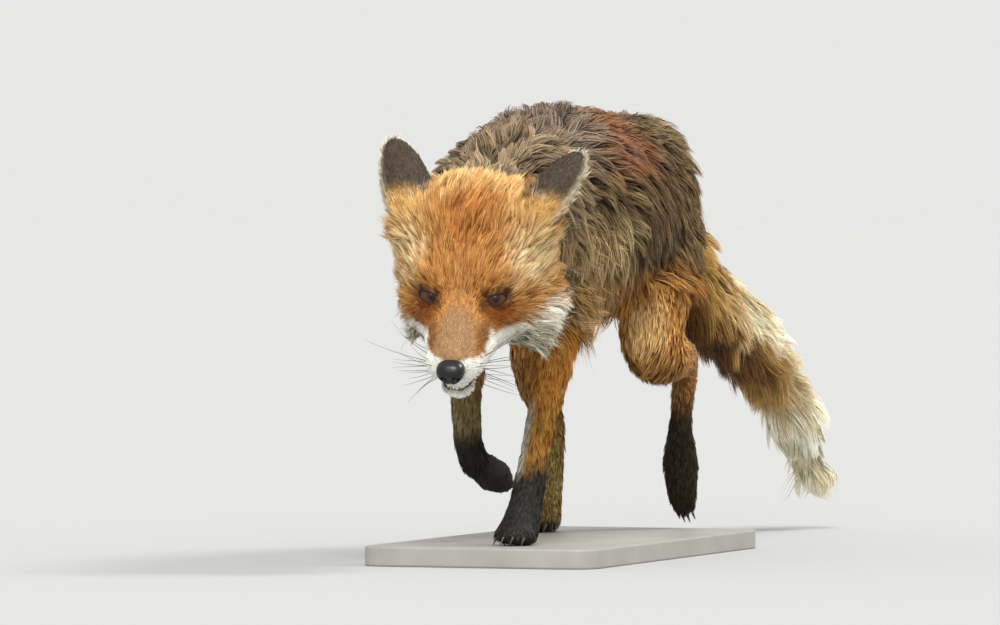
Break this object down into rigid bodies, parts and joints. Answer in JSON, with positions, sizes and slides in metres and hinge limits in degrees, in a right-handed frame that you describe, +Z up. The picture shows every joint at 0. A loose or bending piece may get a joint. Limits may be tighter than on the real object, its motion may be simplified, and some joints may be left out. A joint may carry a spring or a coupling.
{
  "type": "life-size red fox model, walking, on a flat base",
  "caption": "Still, life-size red fox, walking with its head low and one forepaw lifted, on a plain flat base.",
  "frame": {"origin": "centre of the base's underside, on the floor", "axes": "+Z up; the fox faces -Y and its left side is +X; the tail reaches out along +Y"},
  "size_m": [0.2, 0.9167, 0.3776],
  "materials": {
    "coat_red": "dense fur, rust orange",
    "coat_grey": "long loose fur, grey brown over rust",
    "coat_cream": "long soft fur, buff to cream",
    "coat_black": "short fur, brown black",
    "nose_leather": "moist, finely pebbled skin",
    "claw_horn": "dark horn, lightly worn",
    "eye_amber": "polished, amber iris and upright pupil",
    "base_board": "satin painted board"
  },
  "bodies": {
    "root": {"head": "coat_red", "jaw": "coat_cream", "neck": "coat_grey", "trunk": "coat_grey", "ear_left": "coat_black", "ear_right": "coat_black", "eye_left": "eye_amber", "eye_right": "eye_amber", "nose": "nose_leather", "tail": "coat_cream", "tail_tip": "coat_cream", "fore_left_arm": "coat_red", "fore_left_forearm": "coat_red", "fore_left_paw": "coat_black", "fore_right_arm": "coat_red", "fore_right_forearm": "coat_red", "fore_right_paw": "coat_black", "hind_left_thigh": "coat_red", "hind_left_shank": "coat_red", "hind_left_paw": "coat_black", "hind_right_thigh": "coat_red", "hind_right_shank": "coat_red", "hind_right_paw": "coat_black", "claw_fore_left_1": "claw_horn", "claw_fore_left_2": "claw_horn", "claw_fore_left_3": "claw_horn", "claw_fore_left_4": "claw_horn", "claw_fore_right_1": "claw_horn", "claw_fore_right_2": "claw_horn", "claw_fore_right_3": "claw_horn", "claw_fore_right_4": "claw_horn", "claw_hind_left_1": "claw_horn", "claw_hind_left_2": "claw_horn", "claw_hind_left_3": "claw_horn", "claw_hind_left_4": "claw_horn", "claw_hind_right_1": "claw_horn", "claw_hind_right_2": "claw_horn", "claw_hind_right_3": "claw_horn", "claw_hind_right_4": "claw_horn", "stand_base": "base_board"}
  },
  "joints": []
}
